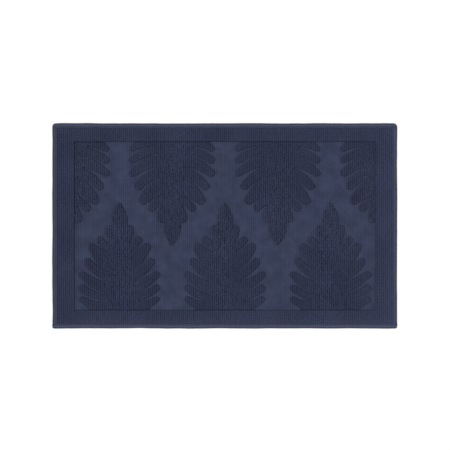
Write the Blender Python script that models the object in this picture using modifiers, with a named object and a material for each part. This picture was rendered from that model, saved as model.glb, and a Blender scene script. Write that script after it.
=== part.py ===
"""Hemmed cotton bath mat with a looped leaf pattern.

The mat lies flat, face up. The origin is at the middle of its footprint on the floor, +X runs along
its long side, +Y along its short side from front to back, and +Z points up. Lengths are in metres.

A ground cloth is turned under and stitched down all round as a hem. Loop pile stands on the cloth
in four border bands and in seven leaves: three that point to the back, two that point to the front,
and two at the back corners that the border cuts off. A narrow channel of bare cloth parts the
leaves from the border.
"""

import math

import bmesh
import bpy
from mathutils import Matrix, Vector

MM = 0.001

# Overall sizes.
MAT_LENGTH = 860 * MM
MAT_WIDTH = 512 * MM
CORNER_RADIUS = 6 * MM

# Cloth, hem and pile.
CLOTH_THICKNESS = 1.6 * MM
HEM_LAYERS = 3
HEM_WIDTH = 12 * MM
HEM_EDGE_ROUND = 1.8 * MM
PILE_HEIGHT = 4.4 * MM
SIDE_BAND_WIDTH = 42 * MM
END_BAND_WIDTH = 34 * MM
CHANNEL_WIDTH = 4 * MM
GAP = 0.3 * MM

# Sewing thread of the hem.
THREAD_DIAMETER = 0.7 * MM
SEAM_INSET = 2.2 * MM

# The leaf artwork is drawn for this field, and is stretched to the real one.
DRAWN_REPEAT = 263.3 * MM
DRAWN_FIELD_WIDTH = 419.4 * MM
REPEATS_IN_FIELD = 2.854
FRONT_TIP = 57.8 * MM
BACK_TIP = -48.5 * MM

# The leaf: its blade tip, and seven lobes a side. Each lobe is (tip centre out from the midrib,
# tip centre down from the leaf's tip, tip radius, bow of the lower edge, then the inner end of the
# slit below it, out and down), in millimetres.
BLADE_HALF_WIDTH = 20.5
BLADE_BLUNT = 3.0
BLADE_SHOULDER = 42.0
BLADE_END = 57.0
LOBES = (
    (27.0, 66.0, 10.5, 2.5, 27.0, 99.0),
    (50.5, 93.5, 10.0, 1.5, 31.0, 122.0),
    (71.5, 112.0, 11.2, 8.0, 27.0, 170.0),
    (82.5, 148.0, 10.6, 4.5, 42.0, 193.5),
    (98.0, 180.0, 9.2, 6.5, 33.0, 228.0),
    (98.0, 213.0, 9.3, 3.5, 52.0, 245.0),
    (98.5, 241.5, 7.8, 2.5, 66.0, 268.0),
)
LEAF_FOOT = 280.0
# The front leaves come out narrower than the back ones, by this factor.
FRONT_LEAF_WIDTH = 0.945
SLIT_END_WIDTH = 2.4
ARC_STEPS = 7
EDGE_STEPS = 5

HEM_THICKNESS = HEM_LAYERS * CLOTH_THICKNESS
PILE_FOOT = CLOTH_THICKNESS + GAP
PILE_TOP = PILE_FOOT + PILE_HEIGHT
CLOTH_HALF = Vector((MAT_LENGTH / 2 - HEM_WIDTH - GAP, MAT_WIDTH / 2 - HEM_WIDTH - GAP))
FIELD_HALF = Vector((CLOTH_HALF.x - SIDE_BAND_WIDTH, CLOTH_HALF.y - END_BAND_WIDTH))
REPEAT = 2 * FIELD_HALF.x / REPEATS_IN_FIELD
ART_SCALE = Vector((REPEAT / DRAWN_REPEAT, 2 * FIELD_HALF.y / DRAWN_FIELD_WIDTH))


def clear_scene():
    for old in list(bpy.data.objects):
        bpy.data.objects.remove(old, do_unlink=True)


def new_collection(name):
    made = bpy.data.collections.new(name)
    bpy.context.scene.collection.children.link(made)
    return made


def material(name, colour, roughness):
    made = bpy.data.materials.new(name)
    made.use_nodes = True
    shader = made.node_tree.nodes["Principled BSDF"]
    shader.inputs["Base Color"].default_value = (*colour, 1)
    shader.inputs["Roughness"].default_value = roughness
    shader.inputs["Metallic"].default_value = 0
    return made


def add_object(name, data, finish, collection):
    made = bpy.data.objects.new(name, data)
    made.data.materials.append(finish)
    collection.objects.link(made)
    return made


def box(name, low, high, finish, collection, corners=(), corner_radius=0.0, edge_round=0.0):
    """A box from low to high. corners lists the (x sign, y sign) upright edges to be rounded."""
    low, high = Vector(low), Vector(high)
    middle, size = (low + high) / 2, high - low
    mesh = bmesh.new()
    bmesh.ops.create_cube(mesh, size=1)
    bmesh.ops.scale(mesh, vec=size, verts=mesh.verts)
    upright = [
        edge
        for edge in mesh.edges
        if all(
            (math.copysign(1, vert.co.x), math.copysign(1, vert.co.y)) in corners
            for vert in edge.verts
        )
        and abs(edge.verts[0].co.z - edge.verts[1].co.z) > size.z / 2
    ]
    if upright:
        bmesh.ops.bevel(mesh, geom=upright, offset=corner_radius, segments=4, profile=0.5, affect="EDGES")
    data = bpy.data.meshes.new(name)
    mesh.to_mesh(data)
    mesh.free()
    made = add_object(name, data, finish, collection)
    made.location = middle
    if edge_round:
        rounding = made.modifiers.new("rounded edges", "BEVEL")
        rounding.width = edge_round
        rounding.segments = 2
        rounding.limit_method = "ANGLE"
        rounding.angle_limit = math.radians(60)
    return made


def hem(finish, collection):
    """Front and back hems run the mat's whole length, and the side hems fit between them."""
    half_x, half_y = MAT_LENGTH / 2, MAT_WIDTH / 2
    inner_x, inner_y = half_x - HEM_WIDTH, half_y - HEM_WIDTH
    for name, side in (("front", -1), ("back", 1)):
        edges = sorted((side * inner_y, side * half_y))
        box(
            f"hem_{name}",
            (-half_x, edges[0], 0),
            (half_x, edges[1], HEM_THICKNESS),
            finish,
            collection,
            corners=((-1, side), (1, side)),
            corner_radius=CORNER_RADIUS,
            edge_round=HEM_EDGE_ROUND,
        )
    for name, side in (("left", -1), ("right", 1)):
        edges = sorted((side * inner_x, side * half_x))
        box(
            f"hem_{name}",
            (edges[0], -inner_y + GAP, 0),
            (edges[1], inner_y - GAP, HEM_THICKNESS),
            finish,
            collection,
            edge_round=HEM_EDGE_ROUND,
        )


def thread(name, start, end, finish, collection):
    """One straight run of sewing thread."""
    curve = bpy.data.curves.new(name, "CURVE")
    curve.dimensions = "3D"
    curve.bevel_depth = THREAD_DIAMETER / 2
    curve.bevel_resolution = 2
    curve.use_fill_caps = True
    spline = curve.splines.new("POLY")
    spline.points.add(1)
    for point, place in zip(spline.points, (start, end)):
        point.co = (*place, 1)
    add_object(name, curve, finish, collection)


def hem_stitching(finish, collection):
    """A seam along each hem, near its inner edge. The side seams stop at the front and back seams."""
    height = HEM_THICKNESS + GAP + THREAD_DIAMETER / 2
    seam_x = MAT_LENGTH / 2 - HEM_WIDTH + SEAM_INSET
    seam_y = MAT_WIDTH / 2 - HEM_WIDTH + SEAM_INSET
    reach = seam_y - THREAD_DIAMETER - GAP
    for name, side in (("front", -1), ("back", 1)):
        y = side * seam_y
        thread(f"hem_stitching_{name}", (-seam_x, y, height), (seam_x, y, height), finish, collection)
    for name, side in (("left", -1), ("right", 1)):
        x = side * seam_x
        thread(f"hem_stitching_{name}", (x, -reach, height), (x, reach, height), finish, collection)


def border_pile(finish, collection):
    """Side bands run the cloth's whole width, and the front and back bands fit between them."""
    for name, side in (("left", -1), ("right", 1)):
        edges = sorted((side * FIELD_HALF.x, side * CLOTH_HALF.x))
        box(
            f"border_pile_{name}",
            (edges[0], -CLOTH_HALF.y, PILE_FOOT),
            (edges[1], CLOTH_HALF.y, PILE_TOP),
            finish,
            collection,
        )
    reach = FIELD_HALF.x - GAP
    for name, side in (("front", -1), ("back", 1)):
        edges = sorted((side * FIELD_HALF.y, side * CLOTH_HALF.y))
        box(
            f"border_pile_{name}",
            (-reach, edges[0], PILE_FOOT),
            (reach, edges[1], PILE_TOP),
            finish,
            collection,
        )


def bowed(start, end, bow):
    """Points from start towards end along a curve that bulges by bow to the left of that way."""
    along = end - start
    bulge = Vector((-along.y, along.x)).normalized() * 2 * bow
    middle = (start + end) / 2 + bulge
    steps = [step / EDGE_STEPS for step in range(EDGE_STEPS)]
    return [start * (1 - t) ** 2 + middle * 2 * t * (1 - t) + end * t**2 for t in steps]


def touch(centre, radius, point, side):
    """Angle on the circle where the line from point touches it, on one side or the other."""
    to_point = point - centre
    return math.atan2(to_point.y, to_point.x) + side * math.acos(radius / to_point.length)


def lobe(slit_above, bow_above, centre, radius, bow_below, slit_below):
    """One lobe's edge: out from the slit above it, round its tip, and in to the slit below it."""
    first = touch(centre, radius, slit_above, -1)
    last = touch(centre, radius, slit_below, 1)
    while last > first:
        last -= 2 * math.pi
    angles = [first + (last - first) * step / ARC_STEPS for step in range(ARC_STEPS + 1)]
    arc = [centre + radius * Vector((math.cos(a), math.sin(a))) for a in angles]
    upper = bowed(slit_above, arc[0], bow_above)
    lower = bowed(arc[-1], slit_below, bow_below)
    return upper + arc + lower[1:]


def half_outline():
    """The leaf's edge from its tip down the +X side to its foot, with y negative downwards, in mm."""
    blade_steps = 9
    edge = []
    for step in range(blade_steps + 1):
        share = step / blade_steps
        width = BLADE_BLUNT + (BLADE_HALF_WIDTH - BLADE_BLUNT) * math.sin(share * math.pi / 2)
        edge.append(Vector((width, -share * BLADE_SHOULDER)))
    slit, bow = Vector((BLADE_HALF_WIDTH, -BLADE_END)), 0.0
    half_slit = Vector((0, SLIT_END_WIDTH / 2))
    for out, down, radius, bow_below, slit_out, slit_down in LOBES:
        slit_below = Vector((slit_out, -slit_down))
        side = lobe(slit, bow, Vector((out, -down)), radius, bow_below, slit_below + half_slit)
        edge += side
        edge.append(slit_below + half_slit)
        slit, bow = slit_below - half_slit, -bow_below / 2
    edge.append(Vector((slit.x, -LEAF_FOOT)))
    return edge


def leaf_mesh():
    """The whole leaf as a slab of pile, with its tip at the origin and pointing along +Y."""
    right = half_outline()
    outline = right + [Vector((-point.x, point.y)) for point in reversed(right)]
    curve = bpy.data.curves.new("leaf outline", "CURVE")
    curve.dimensions = "2D"
    curve.fill_mode = "BOTH"
    curve.extrude = PILE_HEIGHT / 2
    spline = curve.splines.new("POLY")
    spline.points.add(len(outline) - 1)
    spline.use_cyclic_u = True
    for place, point in zip(outline, spline.points):
        point.co = (place.x * MM * ART_SCALE.x, place.y * MM * ART_SCALE.y, 0, 1)
    drawn = bpy.data.objects.new("leaf outline", curve)
    bpy.context.scene.collection.objects.link(drawn)
    graph = bpy.context.evaluated_depsgraph_get()
    data = bpy.data.meshes.new_from_object(drawn.evaluated_get(graph))
    bpy.data.objects.remove(drawn, do_unlink=True)
    mesh = bmesh.new()
    mesh.from_mesh(data)
    bmesh.ops.remove_doubles(mesh, verts=mesh.verts, dist=0.00001)
    bmesh.ops.recalc_face_normals(mesh, faces=mesh.faces)
    mesh.to_mesh(data)
    mesh.free()
    return data


def field_window(collection):
    """The part of the field inside the channel, which trims every leaf. It isn't a piece."""
    tall = 4 * PILE_HEIGHT
    reach_x, reach_y = FIELD_HALF.x - CHANNEL_WIDTH, FIELD_HALF.y - CHANNEL_WIDTH
    finish = bpy.data.materials.new("cutter")
    window = box("field_window", (-reach_x, -reach_y, -tall), (reach_x, reach_y, tall), finish, collection)
    window.hide_render = True
    window.display_type = "WIRE"
    return window


def leaves(finish, collection, cutters):
    """Seven copies of the leaf, each trimmed at the channel."""
    window = field_window(cutters)
    drawn = leaf_mesh()
    front_tip, back_tip = FRONT_TIP * ART_SCALE.y, BACK_TIP * ART_SCALE.y
    layout = (
        ("front_left", -1.0, front_tip, 0),
        ("front_centre", 0.0, front_tip, 0),
        ("front_right", 1.0, front_tip, 0),
        ("back_left", -0.5, back_tip, math.pi),
        ("back_right", 0.5, back_tip, math.pi),
        ("corner_left", -1.5, back_tip, math.pi),
        ("corner_right", 1.5, back_tip, math.pi),
    )
    for name, repeats, tip, turn in layout:
        data = drawn.copy()
        if name.startswith("front"):
            data.transform(Matrix.Diagonal((FRONT_LEAF_WIDTH, 1, 1, 1)))
        leaf = add_object(f"leaf_pile_{name}", data, finish, collection)
        leaf.location = (repeats * REPEAT, tip, PILE_FOOT + PILE_HEIGHT / 2)
        leaf.rotation_euler = (0, 0, turn)
        trim = leaf.modifiers.new("trim to field", "BOOLEAN")
        trim.operation = "INTERSECT"
        trim.solver = "EXACT"
        trim.object = window
    bpy.data.meshes.remove(drawn)


def ground_cloth(finish, collection):
    low = (-CLOTH_HALF.x, -CLOTH_HALF.y, 0)
    high = (CLOTH_HALF.x, CLOTH_HALF.y, CLOTH_THICKNESS)
    box("ground_cloth", low, high, finish, collection)


def main():
    clear_scene()
    mat = new_collection("bath_mat")
    cutters = new_collection("cutters")
    cloth = material("woven navy cotton", (0.044, 0.054, 0.098), 0.95)
    pile = material("navy cotton loop pile", (0.034, 0.042, 0.078), 1.0)
    thread_finish = material("navy sewing thread", (0.05, 0.06, 0.105), 0.7)
    ground_cloth(cloth, mat)
    hem(cloth, mat)
    hem_stitching(thread_finish, mat)
    border_pile(pile, mat)
    leaves(pile, mat, cutters)


main()
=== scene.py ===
"""Looks of a navy cotton bath mat, face up: loop pile on a ribbed ground cloth with a stitched hem.

The pile makes a border all round and a pattern of leaves. The mat's nodes give every place and size.
Columns of loops run along Y, the mat's short side, and one column pitch is shared by the pile and by
the ribs of the cloth. Lengths are in metres. Shades go from 0, dark, to 1, pale.
"""

import math
import random

import bpy
import numpy as np
from mathutils import Matrix, Vector, noise
from mathutils.bvhtree import BVHTree


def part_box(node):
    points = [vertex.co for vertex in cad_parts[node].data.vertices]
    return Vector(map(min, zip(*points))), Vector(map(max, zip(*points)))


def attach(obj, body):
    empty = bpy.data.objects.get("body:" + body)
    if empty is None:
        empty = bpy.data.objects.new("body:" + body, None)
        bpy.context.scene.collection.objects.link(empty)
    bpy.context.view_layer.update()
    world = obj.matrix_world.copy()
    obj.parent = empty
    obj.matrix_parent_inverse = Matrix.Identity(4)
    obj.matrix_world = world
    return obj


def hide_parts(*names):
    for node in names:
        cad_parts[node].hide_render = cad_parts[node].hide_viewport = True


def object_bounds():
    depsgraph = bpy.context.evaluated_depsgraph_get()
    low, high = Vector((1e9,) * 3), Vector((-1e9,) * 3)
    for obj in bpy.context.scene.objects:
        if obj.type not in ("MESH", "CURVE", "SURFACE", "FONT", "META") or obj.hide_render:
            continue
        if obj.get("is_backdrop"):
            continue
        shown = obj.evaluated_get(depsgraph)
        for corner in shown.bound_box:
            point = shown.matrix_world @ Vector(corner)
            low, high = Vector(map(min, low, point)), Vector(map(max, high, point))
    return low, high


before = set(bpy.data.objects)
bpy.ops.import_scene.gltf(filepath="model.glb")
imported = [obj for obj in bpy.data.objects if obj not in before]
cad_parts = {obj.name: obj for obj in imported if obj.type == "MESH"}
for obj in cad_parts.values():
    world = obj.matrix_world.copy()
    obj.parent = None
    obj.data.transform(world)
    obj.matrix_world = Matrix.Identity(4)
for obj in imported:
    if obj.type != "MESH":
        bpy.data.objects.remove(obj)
CAD_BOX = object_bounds()

MM = 0.001

LOW, HIGH = Vector(CAD_BOX[0]), Vector(CAD_BOX[1])
CLOTH_LOW, CLOTH_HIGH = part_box("ground_cloth")
PILE_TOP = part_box("border_pile_left")[1].z

# The field is the area inside the border.
FIELD_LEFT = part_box("border_pile_left")[1].x
FIELD_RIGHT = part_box("border_pile_right")[0].x
FIELD_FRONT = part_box("border_pile_front")[1].y
FIELD_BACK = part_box("border_pile_back")[0].y

COLUMNS_IN_FIELD = 146
COLUMN_PITCH = (FIELD_RIGHT - FIELD_LEFT) / COLUMNS_IN_FIELD

# A column is a pair of rows of loops, one on each side of its middle. A leaf's rows stand closer to the
# middle, which leaves deeper grooves between its columns.
BORDER_ROW_FROM_COLUMN = 1.2 * MM
LEAF_ROW_FROM_COLUMN = 1.1 * MM

# Along a row: from loop to loop, and how far neighbours overlap, which is less where they are wild.
LOOP_PITCH = 8.2 * MM
LOOP_OVERLAP = 3.8 * MM
WILD_OVERLAP_LOSS = 0.5
SHORTEST_LOOP = 3.4 * MM
# A row stops short of the edge of its patch by up to this much.
RAGGED = 1.0 * MM

# A row's middle may stand this far outside its patch, because its yarn spreads both ways.
MOST_OUTSIDE = 0.6 * MM
# How far the pile of a patch spreads past its front, back and right edges.
SPREAD = {
    "border_pile_back": (0, 1.6 * MM, 0),
    "border_pile_front": (1.6 * MM, 0, 0),
    "border_pile_left": (1.6 * MM, 1.6 * MM, 0),
    "border_pile_right": (1.6 * MM, 1.6 * MM, 0.9 * MM),
    "leaf_pile_corner_right": (0, 0, 2.7 * MM),
}
# How far a leaf's foot spreads over the channel to the border.
FOOT_REACH = 3.8 * MM

# One loop is an arch of yarn. It is made in several lengths, each with its plies at several turns.
YARN_RADIUS = 1.42 * MM
YARN_SIDES = 6
YARN_CUTS = 7
LOOP_LENGTHS = [length * MM for length in range(4, 15)]
LOOP_TURNS = 3
PLY_COUNT = 3
PLY_PITCH = 4 * MM
FEET_INSET = 0.8 * YARN_RADIUS
LEAST_HALF_ARCH = 0.9 * MM
FOOT_DEPTH = 0.5 * MM
FOOT_THINNER = 0.22
# Powers of sine and cosine: the lower they are, the squarer the arch.
ARCH_TOP_POWER = 0.42
ARCH_SIDE_POWER = 0.9
# Short loops are lower: the least share of the full height, and what each millimetre of length adds.
SHORT_LOOP_HEIGHT = 0.75
HEIGHT_PER_MM = 0.03

# Loops lie like shingles over one another. End loops of a row droop and are painted a little paler, as
# light.
SHINGLE_TILT = math.radians(5)
WILD_TILT_LOSS = 0.6
EDGE_TILT = math.radians(8)
EDGE_DROP = 0.3 * MM
EDGE_PAINTED_LIGHT = 0.04
MOST_FOOT_DROP = 0.7 * MM
# The two rows of a column lean together by this share of their height.
LEAN_TOGETHER = 0.04

# How wild the loops are: from 0, in regular ribs, to 1, where they lean and swell freely.
BORDER_WILDNESS = 0.05
LEAF_WILDNESS = 0.1
MIDRIB_WILDER = 0.6
MIDRIB_WIDTH = 34 * MM
# Random spreads, each as the spread of calm loops and what full wildness adds to it.
SIDEWAYS_SPREAD = (0.03 * MM, 0.1 * MM)
TURN_SPREAD_DEGREES = (1, 4)
TILT_SPREAD_DEGREES = (0.6, 2.5)
LEAN_SPREAD = (0.02, 0.06)
SHADE_SPREAD = (0.05, 0.1)
# Rows of wild loops waver by up to this much.
MOST_WAVER = 2.4 * MM

# Loop height, as a share of the full height: usual, then what wildness takes off and swelling adds.
LOOP_HEIGHT = 0.98
WILD_LOWER = 0.03
SWELL_HIGHER = 0.03
# Random changes of a loop's height and width, and the share of them that the calmest loops have.
HEIGHT_CHANGE = (-0.05, 0.02)
CALM_HEIGHT_SHARE = 0.2
WIDTH_CHANGE = (-0.06, 0.06)
CALM_WIDTH_SHARE = 0.4

# Shades of the pile.
BORDER_TONE = 0.48
LEAF_TONE = 0.34
WILD_PALER = 0.12
CLOUD_SHADE = 0.2
# The pile is painted paler towards the front and right rims, as light falling there.
PILE_PAINTED_LIGHT = 0.38
PILE_PAINTED_LIGHT_WIDTH = 24 * MM
# Rows beside the field's right edge are painted darker, as shade along the channel there.
EDGE_ROWS_PAINTED_SHADE = 0.45
EDGE_ROWS_WIDTH = 3 * MM

# Ribs and picks of the ground cloth.
RIB_HEIGHT = 0.45 * MM
RIB_SAMPLES = 5
CLOTH_ROWS = 40
WEFT_PITCH = 2.1 * MM
UNDER_HEM = 2 * MM
RIPPLE_HEIGHT = 0.1 * MM
# Keeps the cloth's underside clear of the floor where it ripples.
RIPPLE_ROOM = 0.15 * MM

# Hem: distances are from the mat's rim inwards. Its top rises to the full thickness at the crest and
# dips at the seam, which also pulls in a smaller hollow underneath.
HEM_SIDES = 36
SIDE_HEM_CUTS = 160
HEM_CREST = 5.0 * MM
HEM_RISE = 0.14
HEM_RISE_WIDTH = 2.2 * MM
SEAM_FROM_RIM = 9.8 * MM
SEAM_DIP = 0.6 * MM
SEAM_DIP_WIDTH = 1.0 * MM
SEAM_HOLLOW = 0.5 * MM
SEAM_HOLLOW_WIDTH = 0.8 * MM
# Powers of sine and cosine that flatten the roll: the lower, the squarer its section.
HEM_TOP_POWER = 0.7
HEM_SIDE_POWER = 0.8
# The rim wanders in and out in long and short waves.
RIM_WANDER = 0.85 * MM
# Ribs fade in from here over this distance, mostly as grooves, on a slightly lumpy surface.
HEM_RIBS_START = 4 * MM
HEM_RIBS_FADE = 4 * MM
HEM_RIB_HEIGHT = 0.7 * MM
HEM_RIB_LEVEL = 0.7
HEM_LUMPS = 0.3 * MM
# Hem shades: its outer side is painted shade, its flat is 0.5, and its crest a painted highlight with
# wear.
HEM_FLAT_SHADE = 0.5
RIM_PAINTED_SHADE_WIDTH = 3.6 * MM
CREST_SHADE_WIDTH = 1.8 * MM
CREST_HIGHLIGHT_AND_WEAR = {"front": 0.45, "back": 0.45, "left": 0.2, "right": 0.2}
# The front and right hems are painted a little paler all over, as light.
HEM_PAINTED_LIGHT = {"front": 0.06, "right": 0.08}
# Rounded corners, where the roll is also a little flatter.
CORNER_RADII = {"front": 4 * MM, "back": 8 * MM}
CORNER_FLATTER = 0.1

# Stitches, and the height of the bobbin's row under the hem.
STITCH_PITCH = 3.8 * MM
STITCH_LENGTH = 3.1 * MM
STITCH_RADIUS = 0.36 * MM
STITCH_SIDES = 6
STITCH_CUTS = 5
STITCH_FLATNESS = 0.9
STITCH_DIVE = 0.7 * MM
STITCH_LIFT = 0.1 * MM
BOBBIN_HEIGHT = 0.42 * MM
STITCH_SLANT = math.radians(5)
STITCH_SLANT_SPREAD = math.radians(2)

# Colours, as sRGB hex.
NAVY_YARN = "#424861"
NAVY_YARN_DARK = "#30354a"
NAVY_CLOTH = "#414861"
NAVY_CLOTH_DARK = "#2f354c"
NAVY_HEM = "#41475c"
NAVY_HEM_DARK = "#34394d"
NAVY_HEM_SIDE_PAINTED_SHADE = "#171a28"
NAVY_CREST_HIGHLIGHT_AND_WEAR = "#4c526a"
NAVY_THREAD = "#4a5070"
WHITE_FLOOR = "#f7f7f7"

# Light and camera.
SKY_STRENGTH = 0.6
KEY_STRENGTH = 1.9
KEY_SOFTNESS = math.radians(10)
KEY_TURN = (math.radians(-2), math.radians(-23), 0)
LENS = 100
SENSOR = 36
VIEW_WIDTH = 1121.8 * MM
CAMERA_X, CAMERA_Y = 0.85 * MM, 2.2 * MM


# ---------------------------------------------------------------- small sums


def clamp(value, low=0, high=1):
    return min(max(value, low), high)


def bell(value, middle, width):
    """1 at the middle, and falling off on both sides over about the width."""
    return math.exp(-(((value - middle) / width) ** 2))


def signed_power(value, power):
    return math.copysign(abs(value) ** power, value)


def cloud(x, y, across, along, layer):
    """Smooth noise at a place, with this many waves to a metre across and along. Layers differ."""
    return noise.noise(Vector((x * across, y * along, layer)))


def spread_at(spread, wild):
    calm, more = spread
    return calm + more * wild


# ---------------------------------------------------------------- modelling


def deselect_all():
    if bpy.context.mode != "OBJECT":
        bpy.ops.object.mode_set(mode="OBJECT")
    bpy.ops.object.select_all(action="DESELECT")


def tube(name, sides, cuts):
    """A closed tube of radius 1 along X, from 0 to 1, with cuts rings between its ends."""
    deselect_all()
    bpy.ops.mesh.primitive_cylinder_add(
        vertices=sides, radius=1, depth=1, location=(0.5, 0, 0), rotation=(0, math.pi / 2, 0)
    )
    made = bpy.context.object
    made.name = name
    bpy.ops.object.transform_apply(location=True, rotation=True, scale=True)
    bpy.ops.object.mode_set(mode="EDIT")
    bpy.ops.mesh.select_mode(type="EDGE")
    bpy.ops.mesh.select_all(action="DESELECT")
    bpy.ops.object.mode_set(mode="OBJECT")
    points = made.data.vertices
    for edge in made.data.edges:
        start, end = (points[i].co for i in edge.vertices)
        edge.select = abs(start.x - end.x) > 0.5
    bpy.ops.object.mode_set(mode="EDIT")
    bpy.ops.mesh.subdivide_edgering(number_cuts=cuts, interpolation="LINEAR")
    bpy.ops.object.mode_set(mode="OBJECT")
    return made


def shape(piece, rule):
    """Moves every point of the piece to rule(point)."""
    for vert in piece.data.vertices:
        vert.co = rule(vert.co.copy())
    piece.data.update()


def face_outwards(piece):
    deselect_all()
    piece.select_set(True)
    bpy.context.view_layer.objects.active = piece
    bpy.ops.object.mode_set(mode="EDIT")
    bpy.ops.mesh.select_all(action="SELECT")
    bpy.ops.mesh.normals_make_consistent(inside=False)
    bpy.ops.object.mode_set(mode="OBJECT")


def mesh_arrays(piece):
    """A piece's points, its faces' corners, where each face's corners start, and its UV map."""
    data = piece.data
    points = np.empty(len(data.vertices) * 3)
    data.vertices.foreach_get("co", points)
    corners = np.empty(len(data.loops), np.int32)
    data.loops.foreach_get("vertex_index", corners)
    starts = np.empty(len(data.polygons), np.int32)
    data.polygons.foreach_get("loop_start", starts)
    spots = np.zeros(len(data.loops) * 2)
    if data.uv_layers:
        data.uv_layers[0].data.foreach_get("uv", spots)
    return points.reshape(-1, 3), corners, starts, spots.reshape(-1, 2)


def used_up(piece):
    """The piece's arrays, once the piece itself is no longer needed."""
    arrays = mesh_arrays(piece)
    bpy.data.objects.remove(piece, do_unlink=True)
    return arrays


def add_shades(data, shades):
    layer = data.attributes.new("shade", "FLOAT", "POINT")
    layer.data.foreach_set("value", shades)


def joined_copies(name, shapes, places):
    """One piece made of copies. Each place is (which shape, 4x4 matrix, shade)."""
    points, corners, starts, spots, shades = [], [], [], [], []
    point_count = corner_count = 0
    for kind, matrix, shade in places:
        own_points, own_corners, own_starts, own_spots = shapes[kind]
        turn = np.array(matrix)
        points.append(own_points @ turn[:3, :3].T + turn[:3, 3])
        corners.append(own_corners + point_count)
        starts.append(own_starts + corner_count)
        spots.append(own_spots)
        shades.append(np.full(len(own_points), shade))
        point_count += len(own_points)
        corner_count += len(own_corners)
    data = bpy.data.meshes.new(name)
    data.vertices.add(point_count)
    data.vertices.foreach_set("co", np.concatenate(points).ravel())
    data.loops.add(corner_count)
    data.loops.foreach_set("vertex_index", np.concatenate(corners))
    data.polygons.add(sum(len(own) for own in starts))
    data.polygons.foreach_set("loop_start", np.concatenate(starts))
    data.update(calc_edges=True)
    along_yarn = data.uv_layers.new(name="yarn")
    along_yarn.data.foreach_set("uv", np.concatenate(spots).ravel())
    add_shades(data, np.concatenate(shades))
    piece = bpy.data.objects.new(name, data)
    bpy.context.scene.collection.objects.link(piece)
    data.shade_smooth()
    return piece


def bake_map(piece, size):
    """A UV map seen from above and a little from one side, so that upright faces have some width."""
    shift_across, shift_along = 0.45, 0.35
    layer = piece.data.uv_layers.new(name="OFBake")
    points, corners, _, _ = mesh_arrays(piece)
    low = points.min(0)
    above = points[corners, 2] - low[2]
    across = points[corners, 0] - low[0] + shift_across * above
    along = points[corners, 1] - low[1] + shift_along * above
    spots = np.stack([across, along], 1) / size
    layer.data.foreach_set("uv", spots.ravel())


def declare(piece, node, finish):
    """The piece stands for the node and with its finish, on the mat's one body."""
    piece.data.materials.append(finish)
    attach(piece, "root")
    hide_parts(node)
    return piece


# ---------------------------------------------------------------- loop pile


def arch(t, length, height):
    """Middle of the yarn at t from 0 to 1: up out of the cloth, over a flat top and down again."""
    half = max(length / 2 - FEET_INSET, LEAST_HALF_ARCH)
    along = half * signed_power(-math.cos(math.pi * t), ARCH_SIDE_POWER)
    up = height * max(math.sin(math.pi * t), 0) ** ARCH_TOP_POWER
    return Vector((0, along, up))


def yarn_loop(length, height, turn):
    """One loop as arrays. Its map runs once round the yarn, and once for each PLY_PITCH along it."""
    yarn = tube("yarn_loop", YARN_SIDES, YARN_CUTS)
    path = 2 * height + length
    for spot in yarn.data.uv_layers[0].data:
        spot.uv = (spot.uv.x + turn, (2 * spot.uv.y - 1) * path / PLY_PITCH)

    def rule(point):
        t = point.x
        step = 0.01
        ahead = arch(min(t + step, 1), length, height) - arch(max(t - step, 0), length, height)
        across = Vector((1, 0, 0))
        up = across.cross(ahead.normalized())
        girth = (1 - FOOT_THINNER) + FOOT_THINNER * max(math.sin(math.pi * t), 0) ** 0.5
        offset = across * point.y + up * point.z
        return arch(t, length, height) + offset * girth * YARN_RADIUS

    shape(yarn, rule)
    face_outwards(yarn)
    return used_up(yarn)


def loop_kinds(height):
    """Loops of every length and of a few turns, shortest first."""
    kinds = []
    for length in LOOP_LENGTHS:
        own_height = height * min(1, SHORT_LOOP_HEIGHT + HEIGHT_PER_MM * length / MM)
        for turn in range(LOOP_TURNS):
            kinds.append(yarn_loop(length, own_height, turn / LOOP_TURNS / PLY_COUNT))
    return kinds


def footprint_tree(node):
    """The node's faces, ready for rays from above."""
    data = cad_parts[node].data
    return BVHTree.FromPolygons(
        [vert.co.copy() for vert in data.vertices], [tuple(face.vertices) for face in data.polygons]
    )


def stretches(tree, x, low_y, high_y):
    """Where the footprint crosses a line at x, as (start, end) pairs along Y."""
    step = 0.4 * MM
    well_above = HIGH.z + 1
    found, start = [], None
    y = low_y - step
    while y <= high_y + 2 * step:
        hit = tree.ray_cast(Vector((x, y, well_above)), Vector((0, 0, -1)))[0] is not None
        if hit and start is None:
            start = y - step / 2
        if not hit and start is not None:
            found.append((start, y - step / 2))
            start = None
        y += step
    return found


def rows_of(node, past_right):
    """The rows of a patch: x, side of the column, and the nearest x inside the patch."""
    low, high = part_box(node)
    margin = 0.1 * MM
    from_column = LEAF_ROW_FROM_COLUMN if node.startswith("leaf_pile") else BORDER_ROW_FROM_COLUMN
    first = math.floor((low.x - FIELD_LEFT) / COLUMN_PITCH) - 1
    last = math.ceil((high.x - FIELD_LEFT) / COLUMN_PITCH) + 1
    for column in range(first, last):
        for side in (-1, 1):
            x = FIELD_LEFT + (column + 0.5) * COLUMN_PITCH + side * from_column
            inside_x = clamp(x, low.x + margin, high.x - margin)
            if -MOST_OUTSIDE <= x - inside_x <= max(MOST_OUTSIDE, past_right):
                yield x, side, inside_x


def loop_cuts(chance, start, end):
    """Where a stretch from start to end is cut into loops."""
    length = end - start
    count = max(1, round(length / LOOP_PITCH))
    shift = chance.random()
    inner = [start + length * (i + shift) / count for i in range(count + 1)]
    inner = [cut for cut in inner if start + SHORTEST_LOOP < cut < end - SHORTEST_LOOP]
    return [start, *inner, end]


def drooping_ends(count, front_stands, back_stands):
    """For each loop of a stretch, -1 or 1 where it droops to the front or the back, and otherwise 0."""
    ends = [0] * count
    if count > 1:
        ends[0] = 0 if front_stands else -1
        ends[-1] = 0 if back_stands else 1
    return ends


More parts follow.
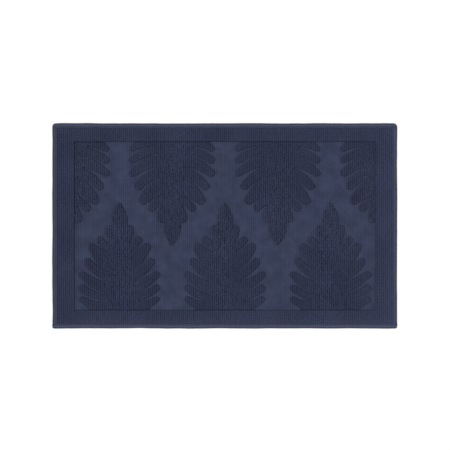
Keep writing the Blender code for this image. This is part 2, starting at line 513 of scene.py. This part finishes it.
def loops_of(node, seed, wildness, tone):
    """Places of all loops of one patch: whole columns, each stretch filled with loops that overlap."""
    chance = random.Random(seed)
    low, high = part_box(node)
    tree = footprint_tree(node)
    front_leaf = node.startswith("leaf_pile_front")
    back_leaf = node.startswith("leaf_pile") and not front_leaf
    past_front, past_back, past_right = SPREAD.get(node, (0, 0, 0))
    places = []
    for x, side, inside_x in rows_of(node, past_right):
        wild = wildness(x)
        reach = LOOP_OVERLAP / 2 * (1 - WILD_OVERLAP_LOSS * wild)
        for start, end in stretches(tree, inside_x, low.y, high.y):
            front_foot = front_leaf and start - low.y < MM
            back_foot = back_leaf and high.y - end < MM
            start -= past_front + FOOT_REACH * front_foot - chance.uniform(0, RAGGED)
            end += past_back + FOOT_REACH * back_foot - chance.uniform(0, RAGGED)
            if end - start < SHORTEST_LOOP:
                continue
            cuts = loop_cuts(chance, start, end)
            # Loops stand up where a border and a leaf's foot meet.
            front_stands = front_foot or node == "border_pile_back"
            back_stands = back_foot or node == "border_pile_front"
            ends = drooping_ends(len(cuts) - 1, front_stands, back_stands)
            for y0, y1, at_end in zip(cuts, cuts[1:], ends):
                y0, y1 = max(y0 - reach, start), min(y1 + reach, end)
                places.append(loop_place(chance, x, side, y0, y1, wild, tone, at_end))
    return places


def loop_place(chance, x, side, y0, y1, wild, tone, at_end):
    """One loop between y0 and y1: which length, its matrix, and its shade.

    The first and last loops of a stretch, where at_end is -1 and 1, droop towards the edge of the pile.
    """
    y = (y0 + y1) / 2
    length = y1 - y0
    size = min(range(len(LOOP_LENGTHS)), key=lambda i: abs(LOOP_LENGTHS[i] - length))
    swell = cloud(x, y, across=22, along=22, layer=3.1)
    height = LOOP_HEIGHT - WILD_LOWER * wild + SWELL_HIGHER * swell
    height += chance.uniform(*HEIGHT_CHANGE) * (CALM_HEIGHT_SHARE + wild)
    height -= abs(at_end) * EDGE_DROP / (PILE_TOP - CLOTH_HIGH.z)
    width = 1 + chance.uniform(*WIDTH_CHANGE) * (CALM_WIDTH_SHARE + wild)
    waver = MOST_WAVER * wild * cloud(x, y, across=16, along=60, layer=5.2)
    sideways = waver + chance.gauss(0, spread_at(SIDEWAYS_SPREAD, wild))
    turn = chance.gauss(0, math.radians(spread_at(TURN_SPREAD_DEGREES, wild)))
    tilt_spread = math.radians(spread_at(TILT_SPREAD_DEGREES, wild))
    tilt = SHINGLE_TILT * (1 - WILD_TILT_LOSS * wild) + chance.gauss(0, tilt_spread)
    if at_end:
        tilt = at_end * EDGE_TILT
    # Long loops tilt less, so that their feet stay inside the cloth.
    most = MOST_FOOT_DROP * 2 / length
    lean = Matrix.Identity(4)
    lean[0][2] = chance.gauss(-LEAN_TOGETHER * side, spread_at(LEAN_SPREAD, wild))
    matrix = Matrix.Translation((x + sideways, y, CLOTH_HIGH.z - FOOT_DEPTH))
    matrix @= Matrix.Rotation(turn, 4, "Z")
    matrix @= Matrix.Rotation(-clamp(tilt, -most, most), 4, "X")
    matrix @= lean
    matrix @= Matrix.Diagonal((width, length / LOOP_LENGTHS[size], height, 1))
    # End loops are painted a little paler, as light.
    shade = loop_shade(chance, x, y, wild, tone) + EDGE_PAINTED_LIGHT * abs(at_end)
    return size * LOOP_TURNS + chance.randrange(LOOP_TURNS), matrix, clamp(shade)


def loop_shade(chance, x, y, wild, tone):
    """The shade of a loop at x and y in a patch of this tone."""
    shade = tone + WILD_PALER * wild + CLOUD_SHADE * cloud(x, y, across=14, along=14, layer=8.7)
    shade += chance.gauss(0, spread_at(SHADE_SPREAD, wild))
    # Painted light: the pile is paler towards the front and right rims.
    painted_light = math.exp(-(HIGH.x - x) / PILE_PAINTED_LIGHT_WIDTH) + math.exp(-(y - LOW.y) / PILE_PAINTED_LIGHT_WIDTH)
    shade += PILE_PAINTED_LIGHT * painted_light
    # Painted shade: the rows beside the field's right edge are darker.
    if FIELD_FRONT < y < FIELD_BACK:
        shade -= EDGE_ROWS_PAINTED_SHADE * math.exp(-abs(x - FIELD_RIGHT) / EDGE_ROWS_WIDTH)
    return shade


def leaf_wildness(node):
    """Loops are freest along the midrib of a leaf, and stand in ribs in its lobes."""
    low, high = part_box(node)
    middle = (low.x + high.x) / 2
    # The border cuts off the corner leaves at their midribs.
    if "corner_left" in node:
        middle = low.x
    if "corner_right" in node:
        middle = high.x
    return lambda x: LEAF_WILDNESS + MIDRIB_WILDER * bell(x, middle, MIDRIB_WIDTH)


def pile_piece(node, seed, kinds, wildness, finish, tone):
    """All loops of one patch of pile."""
    piece = joined_copies("loops_" + node, kinds, loops_of(node, seed, wildness, tone))
    low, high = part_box(node)
    margin = 12 * MM
    bake_map(piece, max(high.x - low.x, high.y - low.y) + margin)
    return declare(piece, node, finish)


# ---------------------------------------------------------------- ground cloth


def rib(x):
    """Height of the warp ribs at x, from 0 in the grooves to 1 on the ribs."""
    return 0.5 - 0.5 * math.cos(2 * math.pi * (x - FIELD_LEFT) / COLUMN_PITCH)


def ground_cloth(finish):
    """The ribbed cloth: a fine grid whose columns follow the ribs, given its thickness downwards."""
    deselect_all()
    size = CLOTH_HIGH - CLOTH_LOW + Vector((2 * UNDER_HEM, 2 * UNDER_HEM, 0))
    middle = (CLOTH_HIGH + CLOTH_LOW) / 2
    bpy.ops.mesh.primitive_grid_add(
        x_subdivisions=round(size.x / COLUMN_PITCH * RIB_SAMPLES),
        y_subdivisions=CLOTH_ROWS,
        size=1,
        location=(middle.x, middle.y, CLOTH_HIGH.z),
    )
    cloth = bpy.context.object
    cloth.name = "ribbed_ground_cloth"
    cloth.scale = (size.x, size.y, 1)
    bpy.ops.object.transform_apply(location=True, rotation=True, scale=True)

    def rule(point):
        ripple = RIPPLE_HEIGHT * cloud(point.x, point.y, across=14, along=14, layer=0.4)
        return point + Vector((0, 0, RIB_HEIGHT * (rib(point.x) - 1) + ripple))

    shape(cloth, rule)
    wall = cloth.modifiers.new("thickness", "SOLIDIFY")
    wall.thickness = size.z - RIB_HEIGHT - RIPPLE_ROOM
    wall.offset = -1
    bpy.ops.object.modifier_apply(modifier=wall.name)
    cloth.data.shade_smooth()
    bake_map(cloth, size.x)
    return declare(cloth, "ground_cloth", finish)


# ---------------------------------------------------------------- hem and seam


def hem_height(from_rim, thickness):
    """Top of the rolled hem over the floor, at a distance from the rim."""
    crown = (1 - HEM_RISE) + HEM_RISE * bell(from_rim, HEM_CREST, HEM_RISE_WIDTH)
    return thickness * crown - SEAM_DIP * bell(from_rim, SEAM_FROM_RIM, SEAM_DIP_WIDTH)


def hem_shade(name, from_rim):
    """0 on a hem's outer side, painted shade; 0.5 on its flat; more on its crest, painted highlight and
    wear.
    """
    flat = HEM_FLAT_SHADE * clamp(from_rim / RIM_PAINTED_SHADE_WIDTH)
    crest = CREST_HIGHLIGHT_AND_WEAR[name] * bell(from_rim, HEM_CREST, CREST_SHADE_WIDTH)
    # The front and right hems are painted paler all over, as light.
    return flat + crest + HEM_PAINTED_LIGHT.get(name, 0)


def hem_section(c, s, reach, width, thickness):
    """Distance from the rim and height of a point of the roll.

    c and s are the cosine and sine of its turn round the tube, and reach is 1 on the tube's side and 0
    on its axis.
    """
    from_rim = width / 2 * (1 - reach * signed_power(c, HEM_SIDE_POWER))
    top = hem_height(from_rim, thickness)
    bottom = SEAM_HOLLOW * bell(from_rim, SEAM_FROM_RIM, SEAM_HOLLOW_WIDTH)
    flat = signed_power(s, HEM_TOP_POWER) * reach
    return from_rim, (top + bottom) / 2 + flat * (top - bottom) / 2


def round_corner(from_rim, height, to_end, corner, width, thickness):
    """Pulls a point of the roll inwards and flattens it, where it is nearer its end than the corner."""
    if to_end >= corner:
        return from_rim, height
    cut_back = corner - math.sqrt(corner**2 - (corner - to_end) ** 2)
    share = (1 - CORNER_FLATTER) + CORNER_FLATTER * to_end / corner
    inwards = cut_back + from_rim * (1 - cut_back / width)
    return inwards, thickness / 2 + (height - thickness / 2) * share


def hem(name, finish):
    """One hem: a flattened roll of folded cloth, with its crest near the rim and a dip at the seam."""
    node = "hem_" + name
    low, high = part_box(node)
    across = name in ("front", "back")
    corner = CORNER_RADII.get(name, 0)
    side = -1 if name in ("front", "left") else 1
    width = (high.y - low.y) if across else (high.x - low.x)
    thickness = high.z - low.z
    # The side hems run on a little under the front and back ones.
    start = low.x if across else low.y - UNDER_HEM
    length = (high.x if across else high.y + UNDER_HEM) - start
    cuts = round(length / COLUMN_PITCH * RIB_SAMPLES) if across else SIDE_HEM_CUTS
    roll = tube("rolled_" + node, HEM_SIDES, cuts)
    shades = []

    def rule(point):
        turn = math.atan2(point.z, point.y)
        c, s = math.cos(turn), math.sin(turn)
        from_rim, height = hem_section(c, s, math.hypot(point.y, point.z), width, thickness)
        shades.append(hem_shade(name, from_rim))
        along = point.x * length
        to_end = max(min(along, length - along), 0)
        from_rim, height = round_corner(from_rim, height, to_end, corner, width, thickness)
        spot = start + along
        long_waves = cloud(spot, side, across=11, along=7.3, layer=2)
        short_waves = 0.5 * cloud(spot, side, across=31, along=1, layer=5)
        inwards = from_rim - RIM_WANDER * (long_waves + short_waves) * (1 - from_rim / width)
        if across:
            x, y = spot, (low.y + inwards if side < 0 else high.y - inwards)
        else:
            x, y = (low.x + inwards if side < 0 else high.x - inwards), spot
        ribbed = clamp((from_rim - HEM_RIBS_START) / HEM_RIBS_FADE)
        lift = HEM_RIB_HEIGHT * ribbed * (rib(x) - HEM_RIB_LEVEL)
        lift += HEM_LUMPS * cloud(x, y, across=40, along=40, layer=1)
        return Vector((x, y, height + lift * max(s, 0)))

    shape(roll, rule)
    add_shades(roll.data, shades)
    face_outwards(roll)
    roll.data.shade_smooth()
    return declare(roll, node, finish)


def stitch_kind():
    """One stitch: a short thread whose ends dive into the cloth."""
    thread = tube("stitch", STITCH_SIDES, STITCH_CUTS)

    def rule(point):
        t = point.x - 0.5
        dive = (abs(2 * t) ** 3) * STITCH_DIVE
        height = point.z * STITCH_RADIUS * STITCH_FLATNESS - dive
        return Vector((t * STITCH_LENGTH, point.y * STITCH_RADIUS, height))

    shape(thread, rule)
    face_outwards(thread)
    return used_up(thread)


def stitching(name, kind, finish):
    """A row of stitches on top of the hem, and the bobbin's row under it."""
    node = "hem_stitching_" + name
    low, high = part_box(node)
    hem_low, hem_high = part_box("hem_" + name)
    chance = random.Random(node)
    across = name in ("front", "back")
    length = (high.x - low.x) if across else (high.y - low.y)
    turn = 0 if across else math.pi / 2
    middle = (low + high) / 2
    top = hem_height(SEAM_FROM_RIM, hem_high.z - hem_low.z) + STITCH_LIFT
    count = round(length / STITCH_PITCH)
    places = []
    for row, (z, flip) in enumerate(((top, 0), (BOBBIN_HEIGHT, math.pi))):
        for index in range(count):
            along = (index + 0.5 + 0.5 * row) * length / (count + 1) - length / 2
            x, y = (middle.x + along, middle.y) if across else (middle.x, middle.y + along)
            slant = turn + chance.gauss(0, STITCH_SLANT_SPREAD) + STITCH_SLANT
            matrix = Matrix.Translation((x, y, z))
            matrix @= Matrix.Rotation(slant, 4, "Z") @ Matrix.Rotation(flip, 4, "X")
            places.append((0, matrix, chance.random()))
    return declare(joined_copies("seam_" + name, [kind], places), node, finish)


# ---------------------------------------------------------------- materials


def linear(hex_colour):
    """sRGB hex to linear RGBA."""
    channels = [int(hex_colour[i : i + 2], 16) / 255 for i in (1, 3, 5)]
    return [c / 12.92 if c <= 0.04045 else ((c + 0.055) / 1.055) ** 2.4 for c in channels] + [1]


def add_node(tree, kind, values=None, links=None, **settings):
    """Adds a node with its settings, its sockets' values and the sockets that feed it."""
    made = tree.nodes.new(kind)
    for name, value in settings.items():
        setattr(made, name, value)
    for socket, value in (values or {}).items():
        made.inputs[socket].default_value = value
    for socket, source in (links or {}).items():
        tree.links.new(source, made.inputs[socket])
    return made


def new_material(name):
    made = bpy.data.materials.new(name)
    made.use_nodes = True
    return made, made.node_tree, made.node_tree.nodes["Principled BSDF"]


def finish_with(tree, shader, values, colour, height, strength, distance):
    """Gives the shader its values, its colour, and a bump of this strength and distance."""
    for name, value in values.items():
        shader.inputs[name].default_value = value
    bump_values = {"Strength": strength, "Distance": distance}
    bump = add_node(tree, "ShaderNodeBump", bump_values, {"Height": height})
    tree.links.new(colour, shader.inputs["Base Color"])
    tree.links.new(bump.outputs["Normal"], shader.inputs["Normal"])


def waves(tree, place, pitch, **settings):
    """Smooth ridges at a pitch along one axis of place."""
    # The texture's own waves are 2 pi / 20 apart at scale 1.
    values = {"Scale": 2 * math.pi / 20 / pitch, "Distortion": 0.6, "Detail": 1, "Detail Scale": 1.5}
    return add_node(tree, "ShaderNodeTexWave", values, {"Vector": place}, **settings).outputs["Fac"]


def grains(tree, place, size):
    """Cloudy grains of about a size."""
    values = {"Scale": 1 / size, "Detail": 3, "Roughness": 0.62}
    return add_node(tree, "ShaderNodeTexNoise", values, {"Vector": place}).outputs["Fac"]


def plus(tree, base, share, extra):
    """base + share * extra."""
    made = add_node(tree, "ShaderNodeMath", {1: share}, {0: extra, 2: base}, operation="MULTIPLY_ADD")
    return made.outputs[0]


def blend(tree, value, low, high, first, second):
    """Goes from first to second as value goes from low to high. Each is a colour or a socket."""
    values = {"From Min": low, "From Max": high}
    made = add_node(tree, "ShaderNodeMix", data_type="RGBA")
    share = add_node(tree, "ShaderNodeMapRange", values, {"Value": value}).outputs["Result"]
    tree.links.new(share, made.inputs["Factor"])
    for socket, given in ((made.inputs["A"], first), (made.inputs["B"], second)):
        if isinstance(given, list):
            socket.default_value = given
        else:
            tree.links.new(given, socket)
    return made.outputs["Result"]


def cotton_yarn():
    """Soft ring-spun cotton, dyed navy and twisted in three plies: dull, with loose fibre."""
    made, tree, shader = new_material("ring-spun cotton yarn, navy")
    place = add_node(tree, "ShaderNodeTexCoord").outputs["Object"]
    shade = add_node(tree, "ShaderNodeAttribute", attribute_name="shade").outputs["Fac"]
    yarn = add_node(tree, "ShaderNodeUVMap", uv_map="yarn").outputs["UV"]
    # Each ply climbs round the yarn once while it runs PLY_COUNT pitches along it.
    climb = add_node(
        tree, "ShaderNodeVectorMath", {1: (PLY_COUNT, 1, 0)}, {0: yarn}, operation="DOT_PRODUCT"
    ).outputs["Value"]
    ply = waves(tree, climb, pitch=1, bands_direction="X")
    strands = waves(tree, climb, pitch=0.25, bands_direction="X")
    fibre = grains(tree, place, size=0.8 * MM)
    height = plus(tree, plus(tree, ply, 0.3, strands), 0.7, fibre)
    # The grooves between plies are painted darker, as shade; the fibre grains are the yarn's own uneven
    # tone.
    tone = plus(tree, shade, 0.35, height)
    colour = blend(tree, tone, 0.5, 1.3, linear(NAVY_YARN_DARK), linear(NAVY_YARN))
    # Loose fibre scatters all light, so the yarn has no shine at all.
    values = {"Roughness": 1, "Specular IOR Level": 0}
    finish_with(tree, shader, values, colour, height, strength=0.75, distance=0.4 * MM)
    return made


def woven_cotton(name, light, dark, fold=None):
    """Firm ribbed cotton weave. fold lightens the crest of a fold, as a painted highlight and as wear.

    The sides of a fold are painted darkest, as shade.
    """
    made, tree, shader = new_material(name)
    place = add_node(tree, "ShaderNodeTexCoord").outputs["Object"]
    # Weft picks cross the ribs. Real ones are finer, and are drawn coarse enough to show.
    picks = waves(tree, place, WEFT_PITCH, bands_direction="Y")
    ribs = waves(tree, place, COLUMN_PITCH, bands_direction="X")
    slub = grains(tree, place, size=1.6 * MM)
    fine = plus(tree, plus(tree, ribs, 0.4, picks), 0.8, slub)
    # The grooves of the ribs and picks are painted darker, as shade; the slub and the large grains are
    # the cloth's own uneven tone.
    tone = plus(tree, grains(tree, place, size=30 * MM), 0.3, fine)
    colour = blend(tree, tone, 0.55, 1.2, linear(dark), linear(light))
    if fold:
        shade = add_node(tree, "ShaderNodeAttribute", attribute_name="shade").outputs["Fac"]
        # The hem's rim side is painted dark, as shade, and its crest pale, as a highlight and as wear.
        colour = blend(tree, shade, 0, HEM_FLAT_SHADE, linear(NAVY_HEM_SIDE_PAINTED_SHADE), colour)
        colour = blend(tree, shade, HEM_FLAT_SHADE, 1, colour, linear(fold))
    values = {"Roughness": 0.95, "Diffuse Roughness": 0.6, "Specular IOR Level": 0.15}
    finish_with(tree, shader, values, colour, fine, strength=0.7, distance=0.25 * MM)
    return made


def sewing_thread():
    """Twisted polyester thread: a little shinier than the cotton round it."""
    made, tree, shader = new_material("polyester sewing thread, navy")
    place = add_node(tree, "ShaderNodeTexCoord").outputs["Object"]
    twist = waves(tree, place, pitch=0.5 * MM, bands_direction="DIAGONAL")
    # The grooves of the twist are painted darker, as shade.
    colour = blend(tree, twist, 0, 1, linear(NAVY_CLOTH), linear(NAVY_THREAD))
    finish_with(tree, shader, {"Roughness": 0.5}, colour, twist, strength=0.5, distance=0.08 * MM)
    return made


# ---------------------------------------------------------------- stage, light and camera


def stage():
    """A pale floor just under the mat."""
    deselect_all()
    bpy.ops.mesh.primitive_plane_add(size=14, location=(0, 0, LOW.z - 0.2 * MM))
    floor = bpy.context.object
    floor.name = "floor"
    made, _, shader = new_material("matt white paper")
    shader.inputs["Base Color"].default_value = linear(WHITE_FLOOR)
    shader.inputs["Roughness"].default_value = 1
    floor.data.materials.append(made)
    floor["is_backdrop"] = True


def lights():
    """Even light from all round, and a soft key from the left that models the pile."""
    world = bpy.data.worlds.new("even light")
    world.use_nodes = True
    background = world.node_tree.nodes["Background"]
    background.inputs["Color"].default_value = (1, 1, 1, 1)
    background.inputs["Strength"].default_value = SKY_STRENGTH
    bpy.context.scene.world = world
    key = bpy.data.lights.new("key", "SUN")
    key.energy = KEY_STRENGTH
    key.angle = KEY_SOFTNESS
    lamp = bpy.data.objects.new("key", key)
    lamp.rotation_euler = KEY_TURN
    bpy.context.scene.collection.objects.link(lamp)


def camera():
    """Straight above the mat, through a long lens."""
    data = bpy.data.cameras.new("camera")
    data.lens = LENS
    data.sensor_width = SENSOR
    made = bpy.data.objects.new("camera", data)
    made.location = (CAMERA_X, CAMERA_Y, HIGH.z + VIEW_WIDTH * LENS / SENSOR)
    bpy.context.scene.collection.objects.link(made)
    bpy.context.scene.camera = made
    bpy.context.scene.view_settings.view_transform = "Standard"


# ---------------------------------------------------------------- the mat


def main():
    camera()
    lights()
    stage()
    yarn = cotton_yarn()
    ground = woven_cotton("ribbed cotton weave, navy", NAVY_CLOTH, NAVY_CLOTH_DARK)
    folded = woven_cotton("folded cotton weave, navy", NAVY_HEM, NAVY_HEM_DARK, NAVY_CREST_HIGHLIGHT_AND_WEAR)
    thread = sewing_thread()
    kind = stitch_kind()
    kinds = loop_kinds(PILE_TOP - CLOTH_HIGH.z + FOOT_DEPTH - YARN_RADIUS)
    names = ("front", "back", "left", "right")
    leaves = sorted(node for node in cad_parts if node.startswith("leaf_pile_"))
    others = [hem(name, folded) for name in names]
    others += [stitching(name, kind, thread) for name in names]
    for seed, name in enumerate(names):
        node = "border_pile_" + name
        others.append(pile_piece(node, seed, kinds, lambda x: BORDER_WILDNESS, yarn, BORDER_TONE))
    for seed, node in enumerate(leaves, 10):
        others.append(pile_piece(node, seed, kinds, leaf_wildness(node), yarn, LEAF_TONE))
    cloth = ground_cloth(ground)


main()
boxes = {"cad": CAD_BOX, "visual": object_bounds()}
{name: [list(corner) for corner in corners] for name, corners in boxes.items()}
